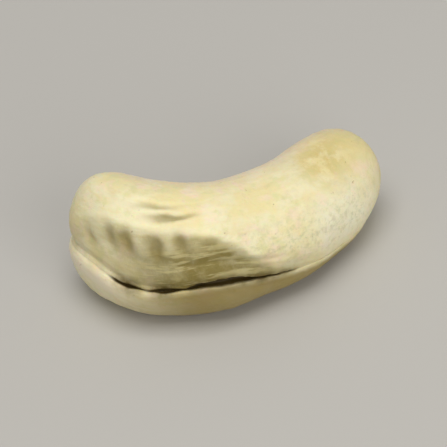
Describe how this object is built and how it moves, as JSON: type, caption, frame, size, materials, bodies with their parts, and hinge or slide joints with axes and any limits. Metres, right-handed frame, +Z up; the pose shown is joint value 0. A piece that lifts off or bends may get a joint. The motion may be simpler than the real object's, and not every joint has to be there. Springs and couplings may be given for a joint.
{
  "type": "cashew nut",
  "caption": "Whole shelled cashew kernel: a plump crescent with a blunt and a slimmer end, a seam parted along its back, and small flat spots on its belly to lie on.",
  "frame": {"origin": "centre of the kernel's footprint, on the surface it lies on", "axes": "+Z up; +X along the length, from the blunt end to the slim end; +Y towards the hollow side of the crescent"},
  "size_m": [0.0286, 0.0144, 0.0126],
  "materials": {
    "kernel": "dull satin ivory, as a blanched nut's flesh"
  },
  "bodies": {
    "root": {"cashew_kernel": "kernel"}
  },
  "joints": []
}
